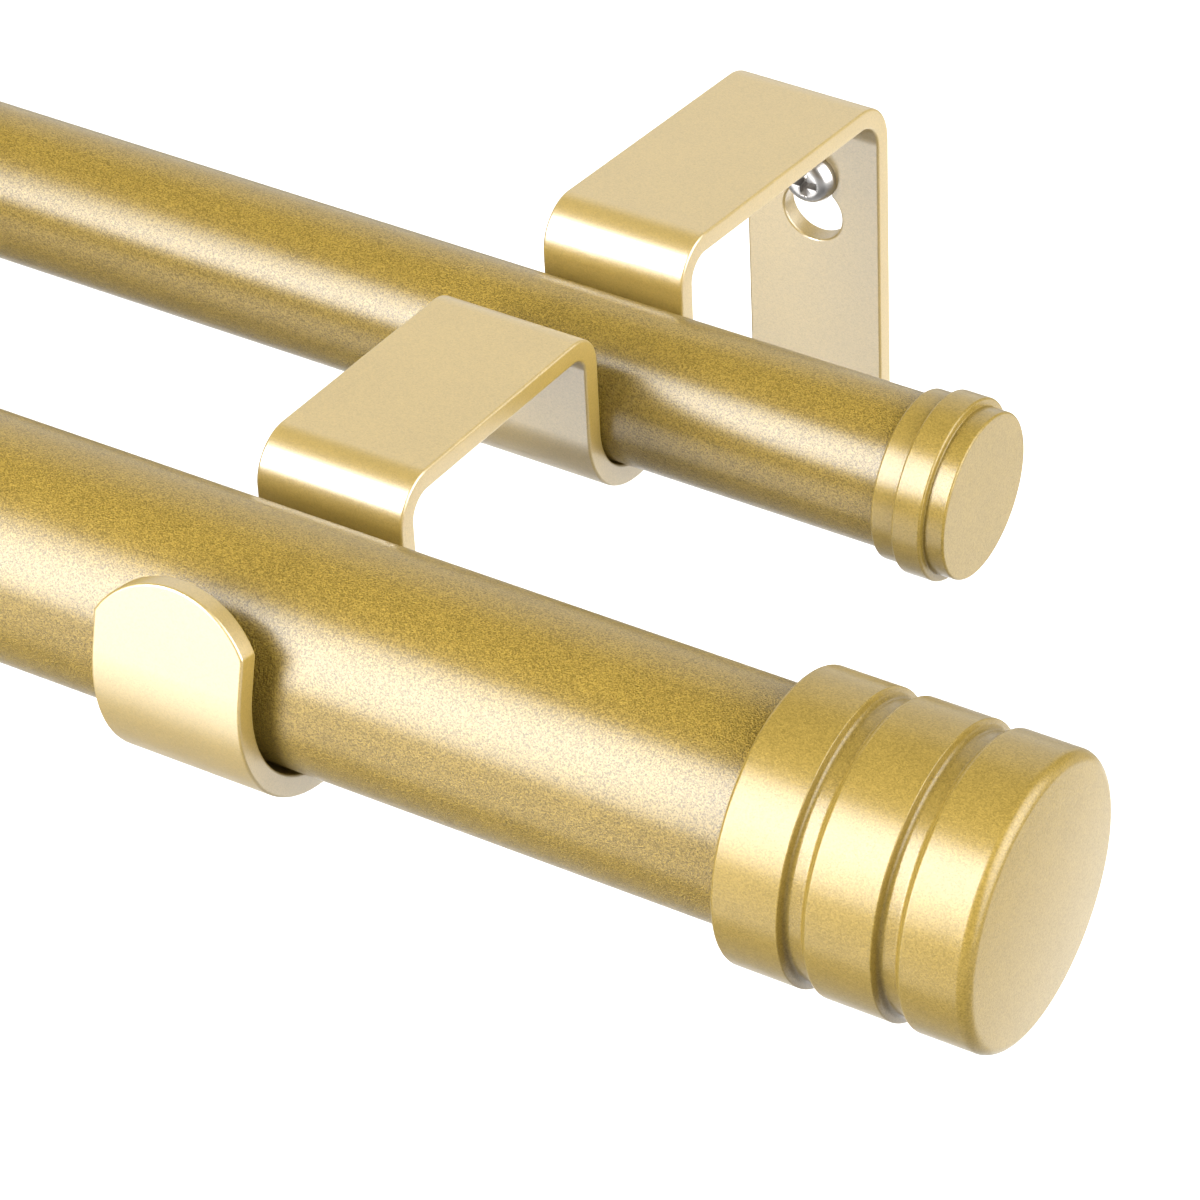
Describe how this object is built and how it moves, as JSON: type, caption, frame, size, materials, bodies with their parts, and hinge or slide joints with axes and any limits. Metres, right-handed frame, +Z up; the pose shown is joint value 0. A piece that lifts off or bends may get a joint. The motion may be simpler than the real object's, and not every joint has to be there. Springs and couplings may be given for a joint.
{
  "type": "double curtain pole",
  "caption": "Double curtain pole: a thick front pole with banded end caps and a thin back pole with stepped caps, both lying in bent strip wall brackets.",
  "frame": {"origin": "middle of the four wall screws, on the wall plane", "axes": "+X along the poles to the right as seen from the room, +Y into the wall, +Z up"},
  "size_m": [0.762, 0.1647, 0.0801],
  "materials": {
    "pole_paint": "satin gold with fine sparkle",
    "cap_paint": "smooth satin gold",
    "strip_paint": "satin gold, slight orange peel",
    "screw_steel": "bright plated"
  },
  "bodies": {
    "root": {"back_cap_left": "cap_paint", "back_cap_right": "cap_paint", "back_pole": "pole_paint", "bracket_left": "strip_paint", "bracket_right": "strip_paint", "front_cap_left": "cap_paint", "front_cap_right": "cap_paint", "front_pole": "pole_paint", "lower_screw_left": "screw_steel", "lower_screw_right": "screw_steel", "upper_screw_left": "screw_steel", "upper_screw_right": "screw_steel"}
  },
  "joints": []
}
